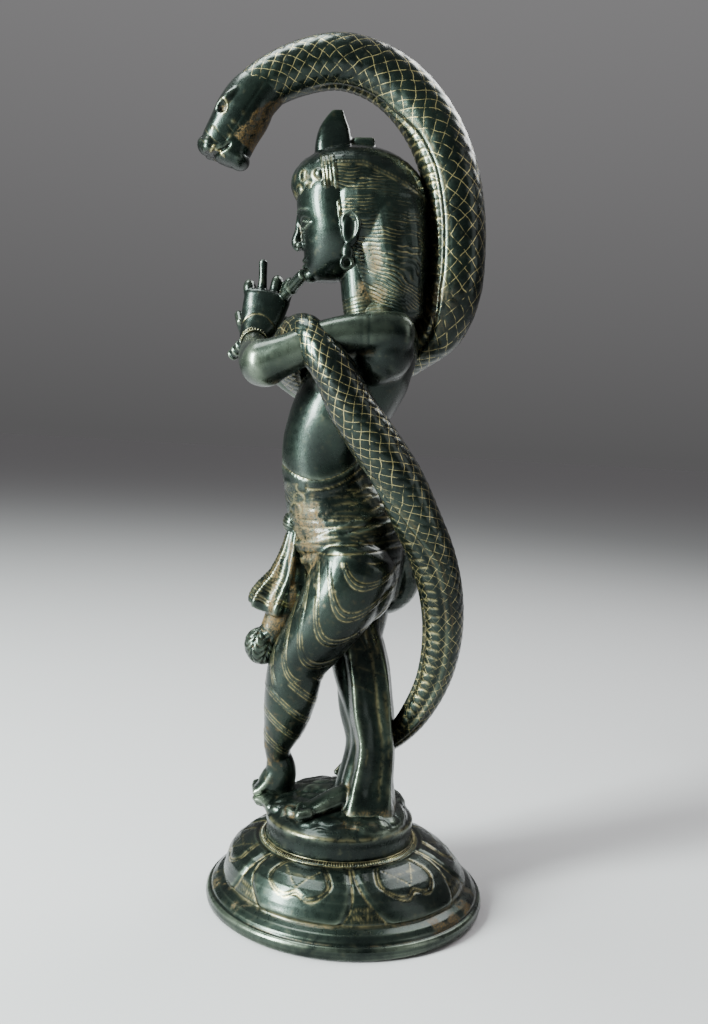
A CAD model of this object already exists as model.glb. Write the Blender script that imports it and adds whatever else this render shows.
# The looks of a cast bronze flute player with a great serpent, on a hollow lotus pedestal.
import itertools
import math

import bmesh
import bpy
import numpy as np
from mathutils import Matrix, Vector


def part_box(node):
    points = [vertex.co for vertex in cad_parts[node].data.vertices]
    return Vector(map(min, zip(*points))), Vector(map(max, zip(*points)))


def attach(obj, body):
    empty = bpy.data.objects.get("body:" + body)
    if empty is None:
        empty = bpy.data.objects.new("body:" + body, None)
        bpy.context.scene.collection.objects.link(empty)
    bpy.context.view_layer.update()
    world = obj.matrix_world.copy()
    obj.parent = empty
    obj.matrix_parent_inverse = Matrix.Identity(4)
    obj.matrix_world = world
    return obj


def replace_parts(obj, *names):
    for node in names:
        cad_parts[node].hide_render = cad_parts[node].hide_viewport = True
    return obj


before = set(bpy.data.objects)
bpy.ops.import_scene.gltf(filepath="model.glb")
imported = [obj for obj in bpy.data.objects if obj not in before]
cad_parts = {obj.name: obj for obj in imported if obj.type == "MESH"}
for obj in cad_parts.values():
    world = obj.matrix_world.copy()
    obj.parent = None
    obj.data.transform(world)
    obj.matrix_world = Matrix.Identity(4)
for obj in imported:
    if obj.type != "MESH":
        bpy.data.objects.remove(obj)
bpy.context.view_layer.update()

MM = 0.001
BODY = "root"

# The pedestal stands on its own axis, and the drum a little in front of it.
pedestal_low, pedestal_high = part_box("lotus_pedestal")
AXIS = (pedestal_low + pedestal_high) / 2 / MM
PEDESTAL_HEIGHT = (pedestal_high.z - pedestal_low.z) / MM
PEDESTAL_RADIUS = (pedestal_high.x - pedestal_low.x) / 2 / MM
LIP_HEIGHT = 9
WALL = 4
PETALS = 6
GAP_TURN = 9  # degrees from the figure's left side to the gap between two petals
DRUM_HEIGHT, DRUM_RADIUS = 11, 35
DRUM_RIM = 1.2  # the rounding of the drum's upper edge
DRUM_SHIFT = -3.8
MOUND_RISE = 7.5

# The figure is drawn on its own grid in mm, from its feet's level, and leans forward.
LEAN = math.radians(2.1)
FEET_SINK = 1.3
FIGURE_BACK = 4.2
FEET = np.array([0, AXIS.y + DRUM_SHIFT + FIGURE_BACK, PEDESTAL_HEIGHT + DRUM_HEIGHT - FEET_SINK])
DRUM_FOOT = np.array([0, AXIS.y + DRUM_SHIFT, PEDESTAL_HEIGHT])
PEDESTAL_FOOT = np.array([0, AXIS.y, 0])
SIDEWAYS, BACKWARDS, UPWARDS = np.eye(3)
ROUND = 2 * math.pi


# From the figure's grid in mm to the frame in metres.
def stand(points):
    x, y, z = np.asarray(points, float).reshape(-1, 3).T
    cosine, sine = math.cos(LEAN), math.sin(LEAN)
    leant = np.stack([x, y * cosine - z * sine, y * sine + z * cosine], 1)
    return (leant + FEET) * MM


# Shares from 0 to 1 as x goes from low to high, eased at both ends.
def ease(x, low, high):
    share = np.clip((x - low) / (high - low), 0, 1)
    return share * share * (3 - 2 * share)


# A soft line, 1 in its middle, from the distance to it.
def line(distance, width):
    return np.exp(-((distance / width) ** 2))


# A soft spot, 1 in its middle.
def spot(points, centre, sizes):
    return np.exp(-(((points - centre) / sizes) ** 2).sum(1))


# How far x lies from the nearest whole step, in the units of x.
def from_step(x, step):
    return np.abs((x / step + 0.5) % 1 - 0.5) * step


# Smooth noise from -1 to 1, with lumps about "size" across.
def lumps(points, size, seed=0):
    at = points / size + seed * 17.31
    cell = np.floor(at).astype(np.int64)
    share = at - cell
    share = share * share * (3 - 2 * share)
    total = np.zeros(len(points))
    for corner in itertools.product((0, 1), repeat=3):
        x, y, z = (cell + corner).T
        hashed = (x * 374761393 + y * 668265263 + z * 1274126177) & 0x7FFFFFFF
        hashed = ((hashed ^ (hashed >> 13)) * 1103515245) & 0x7FFFFFFF
        value = ((hashed ^ (hashed >> 16)) & 0xFFFF) / 32767.5 - 1
        total += value * np.prod(np.where(corner, share, 1 - share), axis=1)
    return total


# The same noise, its lumps drawn out along an axis by a stretch under 1 and flattened by one over 1.
def streaks(points, stretch, size, seed):
    return lumps(points * stretch, size, seed)


# Soft strokes, 1 in their middles, wherever x is a whole number of steps.
def comb(x, step, width):
    return line(from_step(x, step), width)


# The sum of soft spots, each (strength, centre, sizes).
def spots(points, *rows):
    return sum(strength * spot(points, centre, sizes) for strength, centre, sizes in rows)


# A smooth curve through points, at shares of the way from 0 to 1.
def spline(points, shares, centripetal=True):
    points = np.asarray(points, float)
    padded = np.vstack([2 * points[0] - points[1], points, 2 * points[-1] - points[-2]])
    at = np.clip(np.asarray(shares) * (len(points) - 1), 0, len(points) - 1 - 1e-9)
    i = at.astype(int)
    w = (at - i)[:, None]
    p0, p1, p2, p3 = (padded[i + k] for k in range(4))
    if centripetal:
        d0, d1, d2 = (
            np.linalg.norm(b - a, axis=1, keepdims=True) ** 0.5 for a, b in ((p0, p1), (p1, p2), (p2, p3))
        )
        t1 = ((p1 - p0) / d0 - (p2 - p0) / (d0 + d1) + (p2 - p1) / d1) * d1
        t2 = ((p2 - p1) / d1 - (p3 - p1) / (d1 + d2) + (p3 - p2) / d2) * d1
    else:
        t1, t2 = (p2 - p0) / 2, (p3 - p1) / 2
    return p1 + t1 * w + (3 * (p2 - p1) - 2 * t1 - t2) * w**2 + (2 * (p1 - p2) + t1 + t2) * w**3


# The unit direction of that curve.
def heading(points, shares):
    step = 1e-4
    ahead = spline(points, np.clip(shares + step, 0, 1)) - spline(points, np.clip(shares - step, 0, 1))
    return ahead / np.linalg.norm(ahead, axis=1, keepdims=True)


def unit(vectors):
    return vectors / np.linalg.norm(vectors, axis=-1, keepdims=True)


# A closed skin over rings of equal count, with a pole at each end: points and faces.
def closed_rings(rings, first_pole, last_pole):
    count, sides = rings.shape[:2]
    corner = np.arange(count * sides).reshape(count, sides)
    beyond = np.roll(corner, -1, 1)
    quads = np.stack([corner[:-1], beyond[:-1], beyond[1:], corner[1:]], -1).reshape(-1, 4)
    first, last = count * sides, count * sides + 1
    caps = [(first, b, a) for a, b in zip(corner[0], beyond[0])]
    caps += [(last, a, b) for a, b in zip(corner[-1], beyond[-1])]
    return np.vstack([rings.reshape(-1, 3), first_pole, last_pole]), quads.tolist() + caps


# A body through stations (x, y, z, wide, deep): at each an ellipse square to the path, its wide half-axis
# along "across", and as deep as wide where only one is given. Domes at the ends are as tall as "dome" times
# the end's radius. "ripple" scales a point by its turn round the ellipse and its share of the way along.
def sweep(stations, sides=36, steps=7, across=SIDEWAYS, dome=0.8, ripple=None):
    table = np.array([[*row[:4], row[4] if len(row) > 4 else row[3]] for row in stations], float)
    shares = np.linspace(0, 1, (len(table) - 1) * steps + 1)
    turns = np.arange(sides) / sides * ROUND
    path, girth = spline(table[:, :3], shares), spline(table[:, 3:], shares, centripetal=False)
    tangent = heading(table[:, :3], shares)
    first = unit(across - (tangent @ across)[:, None] * tangent)
    second = np.cross(tangent, first)
    swell = np.ones((len(shares), sides)) if ripple is None else ripple(turns[None, :], shares[:, None])

    def ring(i, along=0.0, shrink=1.0):
        centre = path[i] + along * girth[i].min() * tangent[i]
        reach = (swell[i] * shrink)[:, None]
        return centre + reach * (
            girth[i, 0] * np.cos(turns)[:, None] * first[i] + girth[i, 1] * np.sin(turns)[:, None] * second[i]
        )

    bends = np.radians([72, 54, 36, 18]) if dome > 0.1 else []
    slices = [ring(0, -dome * math.sin(bend), math.cos(bend)) for bend in bends]
    slices += [ring(i) for i in range(len(shares))]
    slices += [ring(-1, dome * math.sin(bend), math.cos(bend)) for bend in reversed(bends)]
    poles = [path[i] + way * dome * girth[i].min() * tangent[i] for i, way in ((0, -1), (-1, 1))]
    return closed_rings(np.array(slices), *poles)


# An egg with its half-axes along X, Y and Z, then nodded about X.
def egg(centre, radii, nod=0.0, sides=28):
    up = np.radians(np.linspace(-80, 80, 17))
    turns = np.arange(sides) / sides * ROUND
    out, level = np.cos(up)[:, None], np.repeat(np.sin(up)[:, None], sides, 1)
    slices = np.stack([out * np.cos(turns), out * np.sin(turns), level], -1)
    points, faces = closed_rings(slices, [0, 0, -1], [0, 0, 1])
    x, y, z = (points * radii).T
    turned = np.stack([x, y * math.cos(nod) - z * math.sin(nod), y * math.sin(nod) + z * math.cos(nod)], 1)
    return turned + centre, faces


# A body of level slices (z, front, back, half-width) about the head's middle: each an oval, squarer as
# "square" falls below 1.
def stack(rows, sides=64, steps=5, square=1.0):
    table = np.array(rows, float)
    z, front, back, wide = spline(table, np.linspace(0, 1, (len(table) - 1) * steps + 1), centripetal=False).T
    turns = np.arange(sides) / sides * ROUND
    over = np.sign(np.cos(turns)) * np.abs(np.cos(turns)) ** square
    behind = np.sign(np.sin(turns)) * np.abs(np.sin(turns)) ** square
    depth = ((front + back) / 2)[:, None] + ((back - front) / 2)[:, None] * behind
    slices = np.stack([MIDDLE + wide[:, None] * over, depth, np.repeat(z[:, None], sides, 1)], -1)
    return closed_rings(slices, slices[0].mean(0), slices[-1].mean(0))


# A body turned about Z from a profile of (radius, height).
def lathed(profile, sides, first_pole, last_pole):
    turns = np.arange(sides) / sides * ROUND
    circle = np.stack([np.cos(turns), np.sin(turns), 0 * turns], 1)
    slices = np.array([circle * [r, r, 0] + [0, 0, z] for r, z in profile])
    return closed_rings(slices, first_pole, last_pole)


# How far along a path of stations each point lies in mm, how far behind it in its upright plane, and its turn
# round it.
def beside(points, stations, count=400):
    table = np.array([row[:3] for row in stations], float)
    shares = np.linspace(0, 1, count)
    path, tangent = spline(table, shares), heading(table, shares)
    walked = np.r_[0, np.cumsum(np.linalg.norm(np.diff(path, axis=0), axis=1))]
    apart = (points**2).sum(1)[:, None] - 2 * points @ path.T + (path**2).sum(1)[None, :]
    nearest = apart.argmin(1)
    away = points - path[nearest]
    rear = unit(np.cross(SIDEWAYS, tangent))[nearest]
    rear = rear * np.where(rear[:, 1:2] < 0, -1, 1)
    behind = (away * rear).sum(1)
    return walked[nearest] + (away * tangent[nearest]).sum(1), behind, np.arctan2(behind, away @ SIDEWAYS)


# A closed hoop of round wire.
def hoop(centre, axis, radius, wire):
    axis = unit(np.array(axis, float))
    first = unit(np.cross(axis, UPWARDS if abs(axis[2]) < 0.9 else SIDEWAYS))
    second = np.cross(axis, first)
    long_way, short_way = 48, 12
    turns, bends = np.meshgrid(
        np.arange(long_way) / long_way * ROUND, np.arange(short_way) / short_way * ROUND, indexing="ij"
    )
    out = np.cos(turns)[..., None] * first + np.sin(turns)[..., None] * second
    off_ring = out * (radius + wire * np.cos(bends))[..., None] + axis * (wire * np.sin(bends))[..., None]
    corner = np.arange(long_way * short_way).reshape(long_way, short_way)
    ahead, across = np.roll(corner, -1, 0), np.roll(corner, -1, 1)
    quads = np.stack([corner, ahead, np.roll(ahead, -1, 1), across], -1).reshape(-1, 4)
    return (centre + off_ring).reshape(-1, 3), quads.tolist()


# A new object of points and faces.
def piece_of(name, points, faces):
    mesh = bpy.data.meshes.new(name)
    mesh.from_pydata(np.asarray(points).tolist(), [], faces)
    piece = bpy.data.objects.new(name, mesh)
    bpy.context.scene.collection.objects.link(piece)
    return piece


# One skin over overlapping solids, with cells "grain" mm wide, softened "rounds" times.
def fused(name, solids, grain, rounds=4):
    points, faces, first = [], [], 0
    for some_points, some_faces in solids:
        points.append(some_points)
        faces += [tuple(first + corner for corner in corners) for corners in some_faces]
        first += len(some_points)
    piece = piece_of(name, np.vstack(points), faces)
    skin = piece.modifiers.new("one_skin", "REMESH")
    skin.mode = "VOXEL"
    skin.voxel_size = grain
    soft = piece.modifiers.new("soften", "SMOOTH")
    soft.factor = 0.5
    soft.iterations = rounds
    return made_plain(piece)


# Turns what a piece's modifiers make of it into its own plain mesh.
def made_plain(piece):
    evaluated = piece.evaluated_get(bpy.context.evaluated_depsgraph_get())
    before = piece.data
    piece.data = bpy.data.meshes.new_from_object(evaluated)
    piece.modifiers.clear()
    bpy.data.meshes.remove(before)
    return piece


def points_of(piece):
    flat = np.empty(len(piece.data.vertices) * 3)
    piece.data.vertices.foreach_get("co", flat)
    return flat.reshape(-1, 3)


def normals_of(piece):
    flat = np.empty(len(piece.data.vertices) * 3, np.float32)
    piece.data.vertex_normals.foreach_get("vector", flat)
    return flat.reshape(-1, 3).astype(float)


def place(piece, points):
    piece.data.vertices.foreach_set("co", np.asarray(points, np.float32).ravel())
    piece.data.update()


# Writes an attribute with one value for each point.
def paint(piece, name, values):
    values = np.broadcast_to(values, len(piece.data.vertices)).astype(np.float32)
    piece.data.attributes.new(name, "FLOAT", "POINT").data.foreach_set("value", values)


def edges_of(piece):
    flat = np.empty(len(piece.data.edges) * 2, np.int32)
    piece.data.edges.foreach_get("vertices", flat)
    return flat.reshape(-1, 2)


# Each point's value moved to the mean of its neighbours', "rounds" times.
def blurred(values, edges, rounds):
    values = np.asarray(values, float)
    columns = values.reshape(len(values), -1)
    a, b = edges.T
    count = np.maximum(np.bincount(a, minlength=len(columns)) + np.bincount(b, minlength=len(columns)), 1)
    for _ in range(rounds):
        sums = [
            np.bincount(a, column[b], len(columns)) + np.bincount(b, column[a], len(columns))
            for column in columns.T
        ]
        columns = np.stack(sums, 1) / count[:, None]
    return columns.reshape(values.shape)


# Cuts the relief, in mm along the normals, and writes how much gilt, ochre dust and wear each point has. Dust
# settles in hollows that "reach" rounds of blurring would fill. Fine pale strokes, as strong as "strokes", lie
# where "count" is a whole number.
def dress(piece, relief=0.0, gilt=0.0, ochre=0.0, to_frame=stand, dust=1.0, reach=10, strokes=0.0, count=0.0):
    points = points_of(piece) + normals_of(piece) * np.broadcast_to(relief, len(piece.data.vertices))[:, None]
    place(piece, points)
    edges = edges_of(piece)
    depth = ((blurred(points, edges, reach) - points) * normals_of(piece)).sum(1)
    settled = ease(depth, 0.08, 0.5) * ease(lumps(points, 7, 3), -0.5, 0.6) * dust
    worn = ease(-depth, 0.05, 0.45)
    paint(piece, "strokes", strokes)
    paint(piece, "count", count)
    finish(piece, to_frame(points), gilt, np.maximum(settled, ochre), worn)
    return piece


# Puts a finished piece in the frame with its surface's attributes.
def finish(piece, points, gilt, ochre, worn, material=None):
    place(piece, points)
    for name, values in (("gilt", gilt), ("ochre", ochre), ("worn", worn)):
        paint(piece, name, np.clip(values, 0, 1))
    piece.data.shade_smooth()
    piece.data.materials.clear()
    piece.data.materials.append(material or BRONZE)
    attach(piece, BODY)


# Adds a node with its settings and inputs, an input being a value or another node's output.
def node(tree, kind, inputs=(), **settings):
    made = tree.nodes.new(kind)
    for name, value in settings.items():
        setattr(made, name, value)
    for name, value in dict(inputs).items():
        if isinstance(value, bpy.types.NodeSocket):
            tree.links.new(value, made.inputs[name])
        else:
            made.inputs[name].default_value = value
    return made


def maths(tree, operation, *values):
    return node(tree, "ShaderNodeMath", dict(enumerate(values)), operation=operation).outputs[0]


# A share from 0 to 1 as a value goes from low to high.
def shade_ease(tree, value, low, high):
    inputs = {"Value": value, "From Min": low, "From Max": high}
    return node(tree, "ShaderNodeMapRange", inputs, interpolation_type="SMOOTHSTEP").outputs[0]


def mixed(tree, share, a, b):
    made = node(tree, "ShaderNodeMix", {0: share}, data_type="RGBA")
    for socket, value in ((made.inputs[6], a), (made.inputs[7], b)):
        if isinstance(value, bpy.types.NodeSocket):
            tree.links.new(value, socket)
        else:
            socket.default_value = (*value, 1)
    return made.outputs[2]


# The metal's colours, each range from its darker to its lighter tone.
PATINA = (0.004, 0.007, 0.006), (0.013, 0.022, 0.017)
FLECKS = (0.022, 0.025, 0.016)
RUBBED = (0.11, 0.135, 0.10)
ENGRAVED = (0.29, 0.25, 0.115)
DUST = (0.024, 0.015, 0.003), (0.080, 0.046, 0.009)


# Glossy black-green bronze with worn high spots, pale metal in the engraving and ochre dust in the hollows.
def bronze(name, net=False):
    material = bpy.data.materials.new(name)
    material.use_nodes = True
    tree = material.node_tree
    tree.nodes.clear()
    where = node(tree, "ShaderNodeTexCoord").outputs["Object"]
    plus = lambda a, b: maths(tree, "ADD", a, b)
    minus = lambda a, b: maths(tree, "SUBTRACT", a, b)
    times = lambda a, b: maths(tree, "MULTIPLY", a, b)
    eased = lambda value, low, high: shade_ease(tree, value, low, high)
    painted = lambda attribute: node(tree, "ShaderNodeAttribute", attribute_name=attribute).outputs["Fac"]

    def cloud(scale, detail=4.0):
        inputs = {"Vector": where, "Scale": scale, "Detail": detail, "Roughness": 0.6}
        return node(tree, "ShaderNodeTexNoise", inputs).outputs["Fac"]

    broad, fine, speck = cloud(38), cloud(310), cloud(1400, 2.0)
    gilt = painted("gilt")
    if net:
        gilt = maths(tree, "MAXIMUM", gilt, net_lines(tree, painted("net")))
    # Strokes lie where the painted count is a whole number.
    off = minus(maths(tree, "FRACT", plus(painted("count"), 0.5)), 0.5)
    stroke = minus(1.0, eased(maths(tree, "ABSOLUTE", off), 0.07, 0.17))
    gilt = maths(tree, "MAXIMUM", gilt, times(stroke, painted("strokes")))
    gilt = times(gilt, times(eased(fine, 0.32, 0.6), eased(broad, 0.18, 0.55)))
    grains = plus(times(fine, 0.6), times(speck, 0.4))
    ochre = times(painted("ochre"), eased(grains, 0.36, 0.6))
    worn = times(painted("worn"), eased(broad, 0.35, 0.65))
    dark = mixed(tree, eased(broad, 0.25, 0.78), *PATINA)
    dark = mixed(tree, eased(fine, 0.56, 0.75), dark, FLECKS)
    lined = mixed(tree, gilt, mixed(tree, worn, dark, RUBBED), ENGRAVED)
    colour = mixed(tree, ochre, lined, mixed(tree, eased(speck, 0.4, 0.62), *DUST))
    gloss = plus(plus(0.17, times(fine, 0.24)), times(ochre, 0.5))
    metal = minus(0.85, times(ochre, 0.4))
    pits = plus(times(fine, 0.7), times(speck, 0.3))
    bump = node(tree, "ShaderNodeBump", {"Height": pits, "Strength": 0.25, "Distance": 0.0004})
    surface = {"Base Color": colour, "Roughness": gloss, "Metallic": metal, "Normal": bump.outputs[0]}
    shader = node(tree, "ShaderNodeBsdfPrincipled", surface)
    shader.inputs["Specular IOR Level"].default_value = 0.5
    shader.inputs["Coat Weight"].default_value = 0.15
    shader.inputs["Coat Roughness"].default_value = 0.12
    tree.links.new(shader.outputs[0], node(tree, "ShaderNodeOutputMaterial").inputs[0])
    return material


# The serpent's engraved net: its UV map counts the lines round and along the body.
def net_lines(tree, where):
    spread = node(tree, "ShaderNodeSeparateXYZ", {0: node(tree, "ShaderNodeUVMap", uv_map="net").outputs[0]})
    turn, along = spread.outputs[0], spread.outputs[1]
    objects = node(tree, "ShaderNodeTexCoord").outputs["Object"]
    wobble = node(tree, "ShaderNodeTexNoise", {"Vector": objects, "Scale": 150.0})
    shift = maths(tree, "MULTIPLY", maths(tree, "SUBTRACT", wobble.outputs["Fac"], 0.5), 0.16)
    cuts = node(tree, "ShaderNodeTexNoise", {"Vector": objects, "Scale": 260.0, "Detail": 1.0})
    strength = shade_ease(tree, cuts.outputs["Fac"], 0.32, 0.58)
    marks = []
    for operation in ("ADD", "SUBTRACT"):
        phase = maths(tree, "ADD", maths(tree, operation, along, turn), shift)
        away = maths(tree, "ABSOLUTE", maths(tree, "SUBTRACT", maths(tree, "FRACT", phase), 0.5))
        marks.append(shade_ease(tree, away, 0.462, 0.492))
    crossed = maths(tree, "MULTIPLY", maths(tree, "MAXIMUM", *marks), strength)
    return maths(tree, "MULTIPLY", crossed, where)


BRONZE = bronze("patinated_bronze")
NETTED_BRONZE = bronze("netted_bronze", net=True)

# The torso's stations, from the hips to the neck.
TORSO = [
    (-5, 1, 104, 21, 20), (-5, 0, 121, 25, 24), (-4, -4, 137, 24.5, 25.5), (-3, -9.6, 150, 21, 23),
    (-1, -12.8, 162, 18.5, 20.4), (0, -13.4, 174, 18.5, 20.4), (1, -9.8, 186, 20.5, 21),
    (1, -2.5, 200, 23.5, 22.5), (1, 5, 213, 25.5, 22), (0, 11, 224, 23, 18), (0, 9, 233, 15, 13),
]


# The torso's ellipse at a height.
def torso_at(height):
    rows = np.array(TORSO, float)
    return [np.interp(height, rows[:, 2], column) for column in rows.T]


# A raised band round the torso between two heights.
def torso_band(low, high, proud):
    rows = [torso_at(height) for height in (low, (low + high) / 2, high)]
    return sweep([(x, y, z, wide + proud, deep + proud) for x, y, z, wide, deep in rows], sides=64, dome=0.02)


# How far above the girdle's upper edge a point lies: the edge sags under the belly.
def above_girdle(points):
    y, z = points.T[1:]
    return z - 160 - 0.025 * (np.minimum(y, 3) + 17) ** 2


def torso_and_arms():
    left = [
        (25, 18, 224.5, 9.6), (28.5, 6, 224.6, 9), (30, -12, 222, 8), (29.5, -30, 214.5, 8.8),
        (27, -40.6, 210.3, 10.4),
    ]
    left_fore = [(26, -41, 210, 9.8), (14, -44.5, 214, 8.4), (0, -47, 219, 6.4), (-12, -48.5, 225, 5)]
    right = [
        (-25, 17, 223, 9.5), (-30, 6, 221, 8.6), (-37, -8, 214, 7.6), (-43, -21, 208, 8.6),
        (-44, -27.5, 206.5, 9),
    ]
    right_fore = [(-44, -27.5, 206.5, 8.8), (-46.5, -37, 212, 7.4), (-48, -46.5, 220, 5.2)]
    solids = [
        sweep(TORSO[3:], dome=0.3, sides=48),
        egg([20.5, 13, 218.5], [13, 13, 14.5]),
        egg([22, 8, 214], [9.5, 11, 12], nod=0.5),
        egg([-20.5, 13, 217], [12, 12.5, 13]),
        egg([-21, 8, 212], [9, 11, 11], nod=0.5),
        egg([26.4, -39.6, 210.8], [10.6, 10.8, 10.6]),
        sweep([(0, 5.5, 229, 15.5, 14.5), (0, 5.5, 232.5, 14.5, 13.5)], dome=0.02),
        sweep([(0, -12, 214, 9, 4), (0, -13.5, 208, 7, 4.5), (0, -15, 203, 3, 4.5)]),
        *(sweep(rows, across=UPWARDS) for rows in (left, left_fore, right)),
        sweep(right_fore),
    ]
    for side in (1, -1):
        solids.append(egg([1 + side * 12, -12.5, 204], [10, 8, 9]))
        solids.append(sweep([(side * 4, 9, 235, 8), (side * 13, 12, 229, 7.6), (side * 22, 13.5, 223, 8)]))
    piece = fused("torso_and_arms", solids, 0.96, 10)
    points = points_of(piece)
    x, y, z = points.T
    navel = spot(points, [-1, -33.5, 176], [2.2, 5, 2.2])
    # Lines slant round the neck's foot, rings lie on the chest, and a band holds each upper arm.
    slant = z - 232 - 0.12 * y
    collar = comb(slant, 1.8, 0.4) * (np.abs(slant) < 6) * (np.hypot(x, y - 5) < 18)
    pendant = comb(np.hypot(x, z - 206) + lumps(points, 3, 52), 2.4, 0.4) * (z < 217) * (z > 200)
    pendant *= (np.abs(x) < 9) * (y < -10)
    armlet = comb(y - 2, 3.2, 0.4) * (np.abs(y - 3.6) < 3.4) * (np.abs(x) > 22) * (z > 206)
    muscle = line(x, 1.6) * (y < -20) * ease(z, 178, 182) * ease(200 - z, 0, 4)
    relief = 0.14 * lumps(points, 9, 53) - 1.6 * navel - 0.2 * collar - 0.25 * pendant - 0.12 * armlet
    relief -= 0.3 * muscle + ease(-above_girdle(points), 0.3, 1.6)
    stain = spots(
        points, (0.8, (22, -27, 208), 5), (1, (0, 24, 226), (14, 6, 6)), (0.6, (30, -34, 202), (8, 6, 3))
    )
    gilt = np.maximum(0.4 * collar, 0.35 * pendant)
    return dress(piece, relief, gilt, ease(stain + 0.3 * lumps(points, 4, 54), 0.45, 1.0), dust=0.5)


# The bands on the cloth are engraved in lines this far apart, and a band comes at every seventh.
BAND_LINES = 1.9


# The girdle, the hips and the left leg, crossed in front and up on its toes.
def hip_cloth():
    leg = [
        (10, 1, 120, 19, 19), (10, -6, 104, 18.5, 18), (8, -16, 88, 15.5, 15.5), (5, -25, 73, 13, 13.5),
        (3, -28, 58, 13, 12.5), (0, -30.5, 45, 10.5, 10.5), (-3, -34, 33, 7, 7.2),
        (-5, -34.6, 26, 5.4, 5.5),
    ]
    solids = [
        sweep(TORSO[:6], dome=0.3, sides=48),
        egg([-15, 12.5, 113.5], [15, 20.8, 20]),
        egg([8, 3, 113], [15, 17, 20]),
        egg([0, -24, 158], [12, 9, 9]),
        torso_band(138.5, 141, 0.9),
        torso_band(132, 137, 1.1),
        torso_band(126.5, 129.5, 0.9),
        sweep(leg, sides=44),
        sweep([(-5, -34, 27, 5.6, 5.8), (-6, -33, 19, 6, 7.6), (-7.5, -35.2, 11.5, 7, 9)]),
        sweep([(-6, -35, 18, 5.8, 5), (-8, -39.5, 12.5, 7.2, 3.8), (-9, -43, 9.6, 7.4, 2.6)]),
        *toes([-9, -41.5, 9], [-0.1, -1], 1),
    ]
    piece = fused("hip_cloth", solids, 0.68, 2)
    points = points_of(piece)
    x, y, z = points.T
    rough = lumps(points, 6, 5)
    # Two lines sag under the belly, with hatching, loops and fanned wrinkles between them and the belt.
    belly = above_girdle(points)
    edging = np.maximum(line(belly, 0.34), line(belly + 4.6, 0.3) * (y > -22))
    hatching = comb(z - 0.45 * y + rough, 5.5, 0.3) * (y > -2) * (y < 12) * (z > 146) * (belly < -5)
    loops = np.max([line(np.hypot(y + 25 - k, z - 151 - 3.2 * k) - 2.6, 0.4) for k in (-1.5, 0, 1.6)], axis=0)
    loops *= (z < 158) * (z > 141) * (y < -17)
    wrapped = ease(z, 140, 143) * ease(-belly, 5, 8)
    fan = np.arctan2(z - 146, y + 40) * 34
    wrinkles = wrapped * comb(fan + 1.6 * rough, 2.7, 0.45) * ease(lumps(points, 4, 17), -0.5, 0.2)
    # Engraved lines run round the belt, with fine strokes in its middle.
    belt = z - 0.06 * (y + 13)
    belt_lines = np.max([line(belt - level, 0.3) for level in (141.6, 138.2, 130.4, 126.8)], axis=0)
    belt_lines *= ease(y, -34, -28)
    fine = comb(belt + 0.8 * rough, 1.7, 0.24) * (belt > 131.5) * (belt < 137.5) * (rough > -0.2)
    # Beaded bands curve round the thigh, and slant down the calf.
    along, behind = beside(points, leg)[:2]
    thigh = along + 0.07 * (behind - 4) ** 2 - 5.5
    calf = z + 0.9 * (y + 30) - 56
    low = z < 66 + 0.25 * (y + 30)
    band = np.where(low, calf, thigh)
    off = from_step(band, 7 * BAND_LINES)
    bead = comb(np.where(low, y - 0.6 * z, behind * 1.5), 1.5, 0.4)
    on_leg = (z > 29) & (((z < 124) & (x > 4)) | (z < 70) | ((y < -14) & (z < 100)))
    bands = np.maximum(line(off - BAND_LINES, 0.4), line(off, 0.45) * bead) * on_leg
    raised = ease(2.6 - off, 0, 0.8) * on_leg
    seat = comb(z, 2.6, 0.6) * (y > 14) * (z < 126)
    shown = ease(rough, -0.9, -0.1)
    gilt = [edging, 0.7 * hatching, 0.4 * loops, 0.5 * belt_lines, 0.35 * fine, 0.3 * bands * shown]
    gilt = np.maximum.reduce([*gilt, 0.3 * wrinkles])
    relief = 0.18 * raised - 0.35 * edging - 0.2 * hatching - 0.3 * loops - 0.24 * wrinkles
    relief += 0.1 * rough * wrapped - 0.25 * belt_lines - 0.1 * fine - 0.26 * bands - 0.06 * seat
    relief += 0.45 * ease(-belly, 0.6, 0.9) * ease(belly, -9, -5) - 1.4 * ease(belly, 0.7, 1.4)
    stain = spots(
        points,
        (1, (15, -17, 126), (9, 8, 15)), (1, (12, -22, 143), (9, 8, 7)), (1, (4, -30, 120), (7, 8, 14)),
        (0.8, (-2, -40, 24), (8, 6, 8)), (0.7, (0, -38, 44), (7, 7, 12)),
    )
    stain += 0.35 * rough + 0.6 * lumps(points, 2.2, 18) + (0.25 * wrapped - 0.5) * wrinkles
    banded = 0.8 * on_leg * ease(2.6 - off, 0, 0.3) * shown * (0.5 + 0.5 * bead)
    return dress(piece, relief, gilt, ease(stain, 0.25, 1.1), strokes=banded, count=band / BAND_LINES)


# Five toes in a row from a foot's ball. "outer" is the side of the little toe.
def toes(ball, way, outer):
    made = []
    for i in range(5):
        across = (i - 2) * 2.9 * outer
        reach = 5.2 - abs(i - 0.6) * 0.75
        girth = 2.5 if i == 0 else 1.9
        x, y = ball[0] - way[1] * across, ball[1] + way[0] * across
        tip = (x + way[0] * reach, y + way[1] * reach, ball[2] - 0.6, girth)
        made.append(sweep([(x, y, ball[2], girth), tip], sides=16))
    return made


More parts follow.
